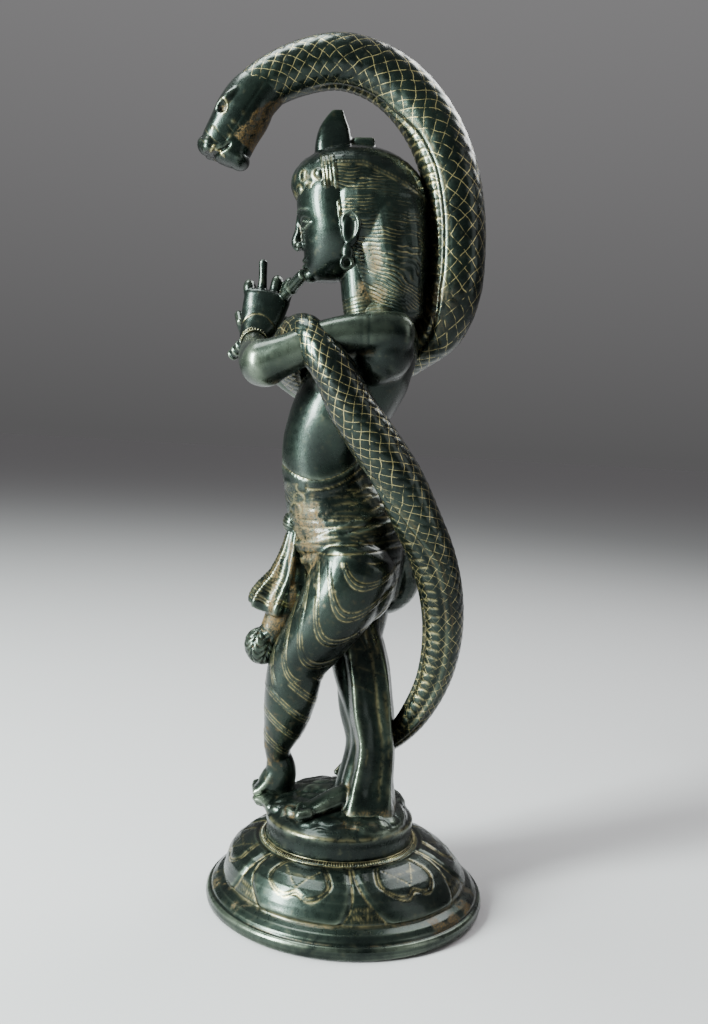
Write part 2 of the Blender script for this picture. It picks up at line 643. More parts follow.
# The right leg and the cloth that falls behind it.
def trailing_cloth():
    leg = [
        (-15, 4, 116, 16), (-11, 3, 96, 14.5), (-6, 1.5, 72, 11), (-2, 6.4, 54, 10), (3, 7.8, 36, 7.2),
        (8, 3, 18, 6, 6.5),
    ]
    foot = [(9, 5, 12.5, 6.5, 6.5), (13, -5, 12, 6.5, 5.5), (17, -14, 9.8, 7, 3.8), (18.4, -19, 8.8, 7, 2.8)]
    cloth = [
        (-11, 0.5, 108, 15, 11), (-9, 1.5, 92, 15, 11.6), (-6, 6.3, 70, 15, 12.6),
        (-3, 8.4, 52, 15.5, 12.4), (0, 10.7, 35, 15.5, 11.2), (3, 8.6, 16, 16.6, 13),
        (4, 7.5, 5, 20, 16.5),
    ]

    def folds(turn, share):
        deep = 0.15 * np.minimum(1, share * 2) * (1 - 0.6 * ease(share, 0.8, 1))
        return 1 + deep * (1 - 2 * np.abs(np.sin(2.5 * turn - 0.9 - 0.3 * share)) ** 1.2)

    solids = [sweep(leg), sweep(foot), *toes([18.8, -18.8, 8.8], [0.2, -0.98], -1)]
    solids.append(sweep(cloth, sides=112, ripple=folds, dome=0.2))
    piece = fused("trailing_cloth", solids, 0.74, 2)
    points = points_of(piece)
    y, z = points.T[1:]
    turn = beside(points, cloth)[2]
    # Seams and scratches run down the folds, and a thread winds round the upper part.
    on_cloth = ease(y, -3, 1) * ease(z, 12, 16)
    seams = np.max([line(turn - at, 0.05) for at in (0.35, 0.62, 1.5, 2.2)], axis=0) * on_cloth
    seams *= ease(streaks(points, (1, 1, 0.3), 5, 61), -0.4, 0.3)
    thread = comb(z + 6 * turn + 1.5 * lumps(points, 8, 62), 9, 0.4) * on_cloth * (z > 60)
    scratches = comb(turn * 12 + lumps(points, 4, 63), 2.1, 0.25) * on_cloth
    scratches *= ease(streaks(points, (1, 1, 0.25), 4, 64), 0.1, 0.5)
    relief = 0.14 * streaks(points, (1, 1, 0.4), 3.2, 65) * on_cloth
    relief -= 0.22 * seams + 0.1 * thread + 0.1 * scratches
    stain = 0.8 * ease(14 - z, 0, 6) * (y > -12)
    stain += 0.5 * ease(streaks(points, (1, 1, 0.3), 6, 66), 0.2, 0.7) * on_cloth
    gilt = np.maximum.reduce([0.28 * seams, 0.14 * thread, 0.2 * scratches])
    return dress(piece, relief, gilt, ease(stain, 0.5, 1.1), dust=0.8)


# The sash end in front of the thighs has this many pleats, and a tassel under it.
PLEATS = 7


def front_sash():
    def pleated(turn, share):
        return 1 + (0.05 + 0.1 * share) * np.cos(PLEATS * turn) + 0.03 * share * np.cos(2 * PLEATS * turn)

    fan = [
        (-1, -26, 140, 6, 4), (-1, -27.2, 126, 7.5, 6.6), (-1, -29.6, 113, 9.5, 9.8),
        (-1, -34, 101.5, 11.5, 13.4), (-1, -35.4, 97, 11, 12.8),
    ]
    tassel_at, tassel_size = np.array([2, -42.4, 80.8]), np.array([7.2, 7.8, 9.0])
    solids = [
        sweep(fan, sides=112, ripple=pleated, dome=0.15),
        sweep([(2, -29, 108, 7.5, 9), (2, -33, 96, 6.5, 7.5), (2, -38, 86, 5.5, 6)]),
        egg(tassel_at, tassel_size, nod=0.3),
        egg([-1, -28.4, 139], [6.8, 4.8, 6]),
    ]
    piece = fused("front_sash", solids, 0.5, 1)
    points = points_of(piece)
    x, y, z = points.T
    on_tassel = ease(1.25 - np.linalg.norm((points - tassel_at) / tassel_size, axis=1), 0, 0.1)
    turn = np.arctan2(x - tassel_at[0], y - tassel_at[1])
    lobes = np.abs(np.sin(3 * turn + 0.12 * (z - tassel_at[2])))
    leaf = line(lobes, 0.2) + comb(z + 3.2 * lobes, 3.4, 0.4)
    # The hem follows the pleats in two lines, over a border in front, and a cord ties the top.
    hem = z - 98.5 + 0.1 * (y + 34) - 0.9 * np.cos(PLEATS * np.arctan2(y + 34, x + 1))
    edge = line(hem - 3.4, 0.5) + line(hem - 5, 0.4)
    border = ease(-y, 30, 34) * ease(z, 104, 108) * comb(z + 0.5 * y, 1.8, 0.5)
    cord = comb(points @ [0.2, 0.4, 1], 1.7, 0.5) * ease(z, 133, 135)
    relief = 0.1 * lumps(points, 2.5, 4) - 0.55 * on_tassel * leaf - 0.3 * edge - 0.2 * border - 0.3 * cord
    valley = ease(-np.cos(PLEATS * np.arctan2(y + 32, x + 1)), 0.2, 0.9) * ease(140 - z, 2, 12) * (z > 97)
    stain = (valley + ease(100 - z, 0, 5)) * (1 - on_tassel) + 0.4 * on_tassel * leaf
    ochre = ease(stain + 0.4 * lumps(points, 5, 9), 0.3, 0.9)
    return dress(piece, relief, 0.5 * edge + 0.35 * border, ochre)


FLUTE_MOUTH = np.array([1.5, -24.5, 253.5])
FLUTE_END = np.array([-61.5, -65, 221.2])
FLUTE_RADIUS = 2.7


def hands_and_flute():
    left_palm = [(-11, -48.7, 225, 7, 5.6), (-14, -45.8, 233, 9.6, 5.6), (-16.6, -43, 244.5, 11.2, 5.2)]
    left_fingers = [
        [(-17, -51, 243, 2.8), (-19.5, -52, 251.5, 2.6), (-26, -50, 248, 2.1)],
        [(-17, -46, 244, 2.9), (-16.6, -45.2, 254, 2.0), (-16, -45, 261.4, 2.1)],
        [(-17.5, -40, 246, 2.8), (-20, -38.4, 253.6, 2.7), (-26.5, -38.5, 250, 2.1)],
        [(-16.5, -34.8, 244, 2.9), (-19, -32.4, 252.6, 2.7), (-25.5, -33, 249, 2.1)],
        [(-14, -42.5, 233, 3), (-19, -37, 235.5, 2.6), (-24, -35.5, 236, 2.2)],
    ]
    right_palm = [(-48, -46.5, 220, 5.4, 4.9), (-50.3, -50.5, 228, 7.2, 4.4), (-50.8, -53.5, 236.5, 8, 3.9)]
    right_fingers = [
        [(-50.5, -58.8, 235, 2.5), (-46.5, -60, 240.5, 2.3), (-40.5, -58.5, 236, 1.9)],
        [(-50.8, -55.4, 237, 2.5), (-46.5, -56, 243, 2.3), (-40.5, -55, 237.5, 1.9)],
        [(-50.8, -51.5, 237, 2.5), (-46.5, -51.5, 243, 2.3), (-40.5, -51.5, 237, 1.9)],
        [(-50.5, -48, 235.5, 2.5), (-46.5, -47, 240.5, 2.3), (-40.5, -47.5, 235.5, 1.9)],
        [(-49.5, -48.5, 226, 2.6), (-44, -47, 224.5, 2.4), (-38, -46, 226.5, 2)],
    ]

    # A station of the flute, "girth" times as thick as its tube.
    def along(share, girth):
        return (*(FLUTE_MOUTH + (FLUTE_END - FLUTE_MOUTH) * share), FLUTE_RADIUS * girth)

    tube = [along(*row) for row in ((0.01, 1.08), (0.14, 1.04), (0.2, 0.94), (0.6, 0.92), (1, 0.85))]
    solids = [sweep(tube, dome=0.45)]
    for share in (0.15, 0.8, 0.86, 0.92, 0.98):
        solids.append(sweep([along(share, 1.16), along(share + 0.018, 1.16)], dome=0.02))
    for palm, fingers in ((left_palm, left_fingers), (right_palm, right_fingers)):
        solids.append(sweep(palm, across=BACKWARDS))
        solids += [sweep(finger, sides=24, dome=0.7) for finger in fingers]
    piece = fused("hands_and_flute", solids, 0.5, 2)
    points = points_of(piece)
    x, y, z = points.T
    # A curved line crosses the left hand, and its raised finger has a nail.
    crease = line(z - 236 + 0.35 * (y + 45) + 0.08 * (y + 45) ** 2, 0.35) * (x > -30) * (x < -9)
    nail = spot(points, [-14, -45.6, 260], [1.2, 1.3, 1.7])
    relief = 0.12 * lumps(points, 4, 51) - 0.35 * crease - 0.3 * nail
    return dress(piece, relief, 0.45 * crease, dust=0.8)


# The head, a calm oval in thirds between the chin and the hairline.
MIDDLE = -1
CHIN = 250
HAIRLINE = 293
THIRD = (HAIRLINE - CHIN) / 3
EYE_LEVEL = CHIN + 1.66 * THIRD
BROW_LEVEL = CHIN + 2.04 * THIRD
NOSE_BASE = CHIN + THIRD
MOUTH_LEVEL = CHIN + 0.58 * THIRD


def face():
    head = [
        (CHIN + 0.3, -19.5, -9, 4), (CHIN + 1.6, -22.2, -5, 7.4), (CHIN + 4.6, -23.9, 0, 11),
        (CHIN + 9, -24.6, 6, 14.4), (NOSE_BASE + 1, -25.2, 8, 16.8), (EYE_LEVEL - 2, -26.2, 7, 18.2),
        (BROW_LEVEL, -27.8, 6, 18.8), (HAIRLINE - 5, -28.4, 5, 18.8), (HAIRLINE + 3, -26, 4, 17),
    ]
    nose = [
        (MIDDLE, -26.6, BROW_LEVEL + 1, 1.5, 1.8), (MIDDLE, -27.4, EYE_LEVEL, 1.7, 2),
        (MIDDLE, -28.4, NOSE_BASE + 3.2, 2.4, 2.3), (MIDDLE, -27.2, NOSE_BASE + 0.8, 2.6, 1.8),
    ]
    solids = [
        stack(head),
        sweep(nose, sides=24, dome=0.6),
        egg([MIDDLE, -21.4, CHIN + 3], [5.4, 4, 3.4]),
        sweep([(0, 8, 226, 12), (0, 4, 238, 10.5), (-0.5, 2, 256, 10.5)]),
    ]
    for side in (1, -1):
        x = MIDDLE + side * 19.6
        solids.append(egg([MIDDLE + side * 2.7, -26.2, NOSE_BASE + 1.9], [1.7, 2.6, 1.7]))
        rim = [
            (x - side * 0.6, -5, CHIN + 13.5, 1.3, 1.3),
            (x + side * 0.3, -1, CHIN + 18, 1.2, 1.2),
            (x + side * 0.6, 0, CHIN + 23.4, 1.3, 1.3),
            (x + side * 0.3, -2.6, CHIN + 27.6, 1.2, 1.2),
            (x - side * 0.6, -6.4, CHIN + 26, 1.1, 1.1),
            (x - side * 0.9, -7, CHIN + 22, 1.0, 1.0),
        ]
        solids += [sweep(rim, sides=16), egg([x - side * 0.6, -3.4, CHIN + 20.5], [1.9, 4.2, 7.6])]
        solids += [egg([x - side * 0.3, -4.6, CHIN + 10.5], [1.9, 2.8, 3.8])]
        solids.append(hoop([x + side * 0.6, -4.8, CHIN + 5.6], [1, 0.2, 0], 2.4, 1.0))
    piece = fused("calm_face", solids, 0.5, 1)
    points, normals = points_of(piece), normals_of(piece)
    x, y, z = points.T
    side = np.abs(x - MIDDLE)
    front = ease(-normals[:, 1], 0.1, 0.5) * (y < -12)
    across = (side - 8) / 5.2
    level = z - EYE_LEVEL - 0.5 * across
    arch = np.maximum(0, 1 - across**2)
    upper, lower = 2.0 * arch, -1.5 * arch
    open_eye = (across**2 < 1) * (level < upper) * (level > lower)
    relief = -1.3 * line(side - 7.2, 5.5) * line(z - EYE_LEVEL - 0.4, 3)
    relief += 1.25 * open_eye * np.sqrt(np.maximum(0, 1 - across**2 - (level / 2.3) ** 2))
    at_eye = ease(1.25 - np.abs(across), 0, 0.3)
    relief += at_eye * (0.55 * line(level - upper - 0.2, 0.5) + 0.4 * line(level - lower + 0.1, 0.42))
    relief -= 0.3 * at_eye * line(level - upper - 1.5, 0.4)
    relief -= 0.35 * line(level - 0.15 * arch, 0.3) * open_eye
    brow = BROW_LEVEL + 0.4 + 1.7 * (1 - ((side - 7.5) / 7) ** 2)
    relief += 0.55 * line(z - brow, 0.75) * ease(side, 1.5, 3) * ease(15 - side, 0, 3)
    mouth = z - MOUTH_LEVEL - 0.012 * side**2
    lips = np.maximum(0, 1 - (side / 5.6) ** 2)
    relief += 1.1 * lips * line(mouth - 1.25, 1.0) * (1 - 0.35 * line(side, 0.9))
    relief += 1.3 * lips * line(mouth + 1.5, 1.15)
    relief -= 0.9 * line(mouth, 0.38) * ease(6.2 - side, 0, 0.8)
    relief -= 0.5 * line(side - 6.2, 0.8) * line(mouth, 0.8)
    relief -= 0.4 * line(side, 0.8) * line(z - NOSE_BASE + 2.2, 1.3)
    relief -= 0.7 * line(side, 4.2) * line(z - CHIN - 4.9, 0.9)
    relief += 0.5 * line(side - 9.5, 4) * line(z - NOSE_BASE - 1, 4)
    nostril = line(side - 1.9, 0.75) * ease(-normals[:, 2], 0.2, 0.7) * line(z - NOSE_BASE - 0.6, 1.4)
    relief = (relief - 1.3 * nostril) * front
    concha = ease(side - 17, 0, 1) * spot(points[:, 1:], [-3.2, CHIN + 21], [2.3, 5])
    # Lines slant round the throat.
    throat = z - 237 - 0.18 * y
    collar = comb(throat, 1.7, 0.4) * (np.abs(throat) < 5.5) * (y < 6)
    relief -= 1.1 * concha + 0.2 * collar
    stain = spots(points, (1, (11, 5, 245), 8), (1, (-13, 5, 245), 8)) + 0.5 * concha + 0.5 * nostril
    return dress(piece, relief, 0.2 * collar, ease(stain, 0.4, 0.95), dust=0.5, reach=7)


# The hair, combed back in fine grooves behind a ribbed band, with curls over the brow, a smooth cap, and on
# it a leaf with a small block behind.
def hair():
    def locks(turn, share):
        return 1 + 0.02 * np.cos(8 * turn) * np.minimum(1, share * 3)

    fall = [
        (MIDDLE, 10, 294, 18, 18.5), (MIDDLE, 12.5, 276, 22.3, 20.5), (MIDDLE, 15.2, 258, 21.5, 18.8),
        (MIDDLE, 18, 244, 19, 15.6), (MIDDLE, 21, 235, 16, 12),
    ]
    leaf = [
        (302, -20.6, -2, 9.4), (311, -20.4, -3.2, 8.6), (318.3, -18.8, -4.6, 6.4),
        (323.7, -15.8, -6.6, 3.8), (327.4, -12.8, -7.8, 2),
    ]
    crest_at, crest_size = np.array([MIDDLE, -2, 294]), np.array([20.6, 29.2, 17.6])
    curls = [
        crest_at + [wide * math.sin(turn), -deep * math.cos(turn), level]
        for start, wide, deep, level in ((-1.05, 17.2, 24.9, -4.2), (-0.9, 17.6, 24.9, 0.8))
        for turn in np.arange(start, -start + 0.01, 0.3)
    ]
    solids = [
        egg([MIDDLE, 5.5, 281.5], [22.3, 27.5, 28.5]),
        egg(crest_at, crest_size),
        sweep(fall, sides=48, ripple=locks, dome=0.5),
        stack(leaf, square=0.55),
        stack([(304, -5, 7.6, 5.8), (309, -4.4, 7.4, 5.4), (314.4, -3.2, 6.8, 4.8)], square=0.4),
        *(egg(at, [4.2, 3.2, 3.6]) for at in curls),
    ]
    piece = fused("combed_hair", solids, 0.58, 2)
    points, normals = points_of(piece), normals_of(piece)
    x, y, z = points.T
    rough = lumps(points, 7, 2)
    band = y + 12.6 + 0.12 * (z - 290)
    cap_edge = z - 298.5 + 0.45 * np.maximum(0, y - 2)
    combed = ease(band, 3, 3.6) * ease(-cap_edge, 0, 0.8) * (z > 232)
    slope = 0.04 + 0.42 * ease(268 - z, 0, 25)
    lock = z + slope * y + 1.1 * rough + 0.35 * lumps(points, 3, 14)
    nape = ease(normals[:, 1], 0.72, 0.9)
    lock = lock * (1 - nape) + nape * (z + 0.8 * np.abs(x) + 0.8 * rough)
    pitch = 1.5
    uneven = ease(streaks(points, (1, 0.3, 1), 3.4, 6), -0.5, 0.1)
    grooves = combed * comb(lock, pitch, 0.34) * uneven
    ribs = comb(band, 1.5, 0.34) * (np.abs(band) < 3.1) * (z > 268) * ease(-cap_edge, -6, -4)
    cap_line = np.maximum(line(cap_edge, 0.36), line(cap_edge - 1.6, 0.4) * comb(y, 1.6, 0.5)) * (band > 3)
    brow_hair = ease(-band, 3.2, 4) * (z < 306)
    from_curl = np.min([np.linalg.norm(points - at, axis=1) for at in curls], axis=0)
    curl = comb(from_curl + 0.5 * rough, 1.25, 0.26) * brow_hair * (from_curl < 4.4)
    vein = (z > 313) * line(x - MIDDLE, 0.4) * (y < -12)
    relief = 0.35 * (np.abs(band) < 3.2) * (z > 268) * (cap_edge < 5) - 0.25 * combed
    relief += 0.35 * lumps(points, 4.5, 15) * brow_hair * (z > 292)
    relief -= 0.34 * grooves + 0.4 * ribs + 0.3 * cap_line + 0.24 * curl + 0.2 * vein
    stain = spots(
        points,
        (0.6, (13, -23, 294), (8, 5, 4)), (0.6, (-15, -23, 294), (8, 5, 4)),
        (0.9, (14, 9, 243), (7, 6, 6)), (0.9, (-16, 9, 243), (7, 6, 6)),
    )
    stain += 0.75 * spot(points, [18, 6, 262], [5, 7, 14]) * (rough + 0.3)
    stain += 0.5 * spot(points, [20, 2, 284], [6, 9, 8]) * (rough + 0.2)
    gilt = np.maximum.reduce([0.4 * cap_line, 0.3 * ribs, 0.3 * curl])
    ochre = ease(stain + 0.25 * rough, 0.4, 1.0)
    combing = 0.45 * combed * ease(rough, -0.5, 0.3) * uneven
    return dress(piece, relief, gilt, ochre, dust=0.6, reach=7, strokes=combing, count=lock / pitch)


# The serpent's stations, from the nape of its head to the tip of its tail.
SERPENT = np.array([
    (0, -53, 329, 10.3, 10.6), (0, -43.5, 337.8, 10.8, 10.8), (0, -28, 345.4, 11.6, 11.6),
    (0, -9.5, 348.8, 12.4, 12.2), (0, 7.6, 344.2, 12.7, 12.5), (0, 21.4, 334.5, 12.9, 12.8),
    (0, 33, 319.6, 13.3, 12.8), (0, 40.7, 301.5, 13.7, 12.9), (0, 44.4, 283, 13.7, 12.8),
    (0, 45.4, 265, 13.5, 12.7), (-1.5, 44.2, 247, 13, 12.8), (-6.5, 38.8, 231.5, 12.2, 12.2),
    (-17, 28.5, 222.5, 11, 11), (-28, 17.5, 215.5, 10.2, 10.2), (-32, 5, 209.5, 9.8, 9.8),
    (-31, -8, 205, 9.6, 9.6), (-24, -20, 205.5, 9.4, 9.4), (-11, -28.5, 210.5, 9.2, 9.2),
    (5, -30, 217.5, 9, 9), (18, -26.6, 224.2, 8.2, 8.2), (28, -21.6, 224, 7.8, 8),
    (34.6, -15.6, 215.6, 8.3, 8.6), (36, -8.6, 206, 9.5, 9.5), (34.5, -2, 192.5, 10.4, 10.3),
    (31.5, 9, 176.8, 10.8, 10.8), (28, 19.7, 160.6, 11, 11), (24, 28, 143.5, 10.9, 10.9),
    (19.5, 36.2, 125, 10.4, 10.4), (15, 40.9, 106.5, 9.8, 9.8), (11, 41.8, 87, 9.1, 9.1),
    (7, 38.4, 67.5, 8, 8), (2, 30.8, 50, 6.8, 6.8), (-6, 23.5, 38, 5.6, 5.6), (-15, 17.5, 30, 4.6, 4.6),
    (-20, 8.5, 24, 3.7, 3.7), (-18, -0.5, 19, 2.6, 2.6), (-13, -6.5, 15.5, 1.5, 1.5),
])

# Which way the belly faces, from the head along the body: a station and a direction.
BELLY = [
    (0, (-0.4, 0.5, -0.85)), (3, (-0.5, 0, -1)), (5, (-0.3, -0.65, -0.75)), (6, (0.05, -0.9, -0.4)),
    (7, (0.2, -1, -0.2)), (10, (0.2, -1, 0.1)), (12, (0.68, -0.72, 0)), (14, (1, 0, 0.1)),
    (16, (0.7, 0.7, 0.1)), (18, (0, 1, -0.1)), (20, (-0.2, 0.1, -1)), (21, (-0.8, -0.3, -0.5)),
    (22, (-1, -0.2, 0)), (24, (-0.75, -0.7, -0.1)), (25.5, (0.1, -1, -0.2)), (27, (0.9, -0.9, 0)),
    (30, (1.05, -0.65, 0.1)), (33, (0.8, -0.5, 0.6)), (36, (0.5, 0, 0.9)),
]
RINGS, SIDES = 900, 76
NET_ROUND, NET_PITCH = 12, 0.54
RIDGE_TURN = 0.9  # from the belly's middle to the ridge beside the inner strip
FALL = 330  # mm along the body to where it falls from the left arm


def serpent():
    dense = np.linspace(0, 1, 8000)
    steps = np.diff(spline(SERPENT[:, :3], dense), axis=0)
    walked = np.r_[0, np.cumsum(np.linalg.norm(steps, axis=1))]
    along = np.linspace(0, walked[-1], RINGS)
    shares = np.interp(along, walked, dense)
    path, tangent = spline(SERPENT[:, :3], shares), heading(SERPENT[:, :3], shares)
    radius = spline(SERPENT[:, 3:], shares, centripetal=False).mean(1)
    stops = np.array([stop for stop, way in BELLY]) / (len(SERPENT) - 1)
    ways = np.array([way for stop, way in BELLY], float)
    belly = np.stack([np.interp(shares, stops, column) for column in ways.T], 1)
    belly = unit(belly - (belly * tangent).sum(1, keepdims=True) * tangent)
    flank = np.cross(belly, tangent)
    turn = np.repeat((np.arange(SIDES) / SIDES * ROUND)[None, :], RINGS, 0)
    from_belly = np.minimum(turn, ROUND - turn)
    out = np.cos(turn)[..., None] * belly[:, None] + np.sin(turn)[..., None] * flank[:, None]
    flat = (path[:, None] + out * radius[:, None, None]).reshape(-1, 3)
    noise = lambda size, seed: lumps(flat, size, seed).reshape(RINGS, SIDES)
    # Lines along the body keep their pitch as it narrows.
    pace = np.r_[0, np.cumsum(np.diff(along) / (NET_PITCH * (radius[1:] + radius[:-1]) / 2))]
    wobble = 0.24 * noise(9, 1) + 0.12 * noise(4, 8)
    phase = pace[:, None] + wobble
    count = turn / ROUND * NET_ROUND
    first, second = (phase + count) % 1, (phase - count) % 1
    # The net leaves a smooth neck behind the head and thins out on the tail.
    here, to_tip = along[:, None], walked[-1] - along[:, None]
    back = ease(from_belly, 1.0, 1.12) * ease(here, 9, 16) * ease(to_tip, 25, 75)
    swollen = np.abs(np.sin(math.pi * first) * np.sin(math.pi * second)) ** 0.4
    # A grooved ridge and a channel lie beside the inner strip, which is cut in crescents.
    lined = ease(here, 25, 50) * ease(to_tip, 15, 60)
    from_ridge = (from_belly - RIDGE_TURN) * radius[:, None]
    ridge = line(from_ridge, 0.8) * lined
    grooves = (line(from_ridge - 1.5, 0.4) + line(from_ridge + 1.5, 0.4)) * lined
    channel = line(from_ridge + 2.4, 1.3) * lined
    crescent = here + 1.4 * np.cos(turn * 2.2) + 1.6 * wobble
    scute_reach = 0.5 + 0.25 * ease(FALL - here, 0, 60)
    scute = comb(crescent, 4.3, 0.42) * ease(scute_reach - from_belly, 0, 0.15) * lined
    ribs = comb(here - 1.3 * from_belly * radius[:, None], 3.4, 0.4) * lined * ease(noise(30, 3), -0.2, 0.2)
    ribs = ribs * (from_belly > 0.98) * (from_belly < 1.3)
    relief = 0.34 * back * (swollen - 1) + 0.28 * ridge - 0.35 * grooves - 1.1 * channel
    relief -= 0.4 * scute + 0.1 * ribs
    slices = path[:, None] + out * (radius[:, None] + relief)[..., None]
    points, faces = closed_rings(slices, path[0] - tangent[0] * 4, path[-1] + tangent[-1])
    piece = piece_of("great_serpent", points, faces)
    corners = np.empty(len(piece.data.loops), np.int32)
    piece.data.loops.foreach_get("vertex_index", corners)
    counts = np.append(count.ravel(), [0, 0])[corners]
    phases = np.append(phase.ravel(), [0, pace[-1]])[corners]
    # The last column of each ring closes on the first one's points, one whole turn on.
    wraps = np.zeros(((RINGS - 1) * SIDES, 4), bool)
    wraps[SIDES - 1 :: SIDES, 1:3] = True
    counts[: wraps.size][wraps.ravel()] += NET_ROUND
    uv = piece.data.uv_layers.new(name="net")
    uv.data.foreach_set("uv", np.stack([counts, phases], 1).astype(np.float32).ravel())
    # The lines are rubbed in patches, and fainter on the lower half.
    rubbed = 0.5 + 0.5 * ease(noise(20, 13), -0.5, 0.3)
    pad = lambda values: np.append(np.broadcast_to(values, (RINGS, SIDES)).ravel(), [0, 0])
    paint(piece, "net", pad(back * rubbed * (1 - 0.4 * ease(here, FALL, FALL + 90))))
    hand_cut = ease(noise(3, 12), -0.7, 0.1)
    gilt = pad(np.maximum.reduce([scute * hand_cut, 0.12 * grooves, 0.14 * ribs * hand_cut]))
    stain = spots(flat, (1, (22, -33, 216), (8, 6, 12)), (1, (0, 33, 240), (16, 9, 10))).reshape(RINGS, SIDES)
    stain = stain * ease(noise(5, 4), -0.5, 0.4) + 0.3 * scute * lined * (1 - hand_cut)
    in_strip = ease(0.86 - from_belly, 0, 0.1) * lined * ease(FALL - here, 0, 60)
    stain = np.maximum.reduce([stain, 0.5 * grooves * (wobble > 0), 0.12 * in_strip * (1 - scute)])
    stain += throat_stain(flat).reshape(RINGS, SIDES) * (here < 40)
    finish(piece, stand(points), gilt, pad(stain), pad(0.2 * ridge), NETTED_BRONZE)
    return piece


# The ochre patch on the serpent's throat: wide by the jaw, and thinning out up the neck.
def throat_stain(points):
    y, z = points[:, 1] + 50.5, points[:, 2] - 307
    from_edge, up_throat = 0.558 * z - 0.83 * y, 0.558 * y + 0.83 * z
    reach = 9.5 - 0.24 * up_throat + 1.2 * lumps(points, 4, 21)
    fading = ease(up_throat, 0, 2) * ease(30 - up_throat, 0, 4)
    return ease(reach - from_edge, 0, 1) * fading * (from_edge < 12)


# The serpent's head: a blocky muzzle that looks down, with small hollow eyes, low fangs in a short mouth and
# a smooth forehead.
def serpent_head():
    skull = [
        (0, -43, 337.4, 10.6, 10.6), (0, -49.4, 331.6, 11.2, 11.8), (0, -53.6, 324.6, 11.4, 12.4),
        (0, -57.6, 317.2, 10.4, 11.8), (0, -60.4, 311.6, 9.8, 11.6), (0, -62.4, 307.4, 9.4, 11),
    ]

    def boxy(turn, share):
        return 1 + 0.05 * share * (1 - np.cos(4 * turn))

    solids = [
        sweep(skull, sides=60, dome=0.5, ripple=boxy),
        egg([0, -69.6, 310.6], [7.4, 4.4, 4.6], nod=0.6),
        egg([0, -55.4, 304.6], [8.4, 5.4, 4.6], nod=-0.5),
    ]
    for side in (1, -1):
        brow = [(side * 8, -54, 333, 2.4), (side * 9.2, -59.2, 328.8, 2.4), (side * 7.8, -63.8, 324, 1.8)]
        solids += [sweep(brow), egg([side * 5.4, -67.4, 309.2], [4.2, 4.2, 4.6])]
    piece = fused("serpent_head", solids, 0.5, 3)
    points = points_of(piece)
    x, y, z = points.T
    on_side = ease(np.abs(x), 4.5, 6)
    eye = np.hypot(y + 61.6, (z - 325.2) / 1.3)
    # A short mouth opens at the muzzle's end, with a long fang and a short one on each side.
    slit = (z - 305.2) - 0.3 * (y + 64) - 0.05 * (y + 64) ** 2
    open_mouth = line(slit, 0.8) * ease(y, -71, -69) * ease(-57 - y, 0, 2)
    hollow_eye = ease(2.4 - eye, 0, 1.2) * on_side
    rim = line(eye - 2.3, 0.45) * on_side * ease(y, -63, -61)
    nostril = spot(points[:, 1:], [-71.6, 313.4], [1.0, 1.0]) * line(np.abs(x) - 5, 2.6)
    bump_places = ((-56.5, 318.5), (-58, 312.5), (-66, 316), (-52, 322))
    bumps = np.max([spot(points[:, 1:], at, 0.8) for at in bump_places], axis=0) * on_side
    scratch = comb(y + 0.9 * z + lumps(points, 4, 2), 5.5, 0.25) * on_side * (z > 309) * (z < 317)
    lip = line(slit - 3.6, 0.5) * on_side * ease(-58 - y, 0, 2)
    neck_edge = line(z - 331 - 1.5 * (y + 46), 1.0) * (np.abs(x) > 3)
    long_fang = line((y + 67.6) * 0.86 - (z - 304) * 0.5, 0.45) * (z > 300) * (z < 308.5)
    short_fang = line((y + 62.6) * 0.5 + (z - 305.2) * 0.86, 0.45) * (y > -64.6) * (y < -60.4)
    fangs = np.maximum(long_fang, short_fang) * on_side
    relief = 0.2 * bumps + 0.15 * rim + 0.5 * fangs - 1.4 * open_mouth - 0.9 * nostril - 1.3 * hollow_eye
    relief -= 0.3 * lip + 0.12 * scratch + 0.2 * neck_edge
    stain = throat_stain(points) + 0.6 * hollow_eye * (z < 325) + 0.4 * open_mouth + 0.3 * nostril
    gilt = np.maximum.reduce([fangs, 0.5 * rim, 0.2 * scratch, 0.25 * bumps])
    return dress(piece, relief, gilt, ease(stain, 0.3, 0.8), dust=0.5, reach=7)


# From mm about the drum's foot to the frame in metres.
def on_drum(points):
    return (points + DRUM_FOOT) * MM


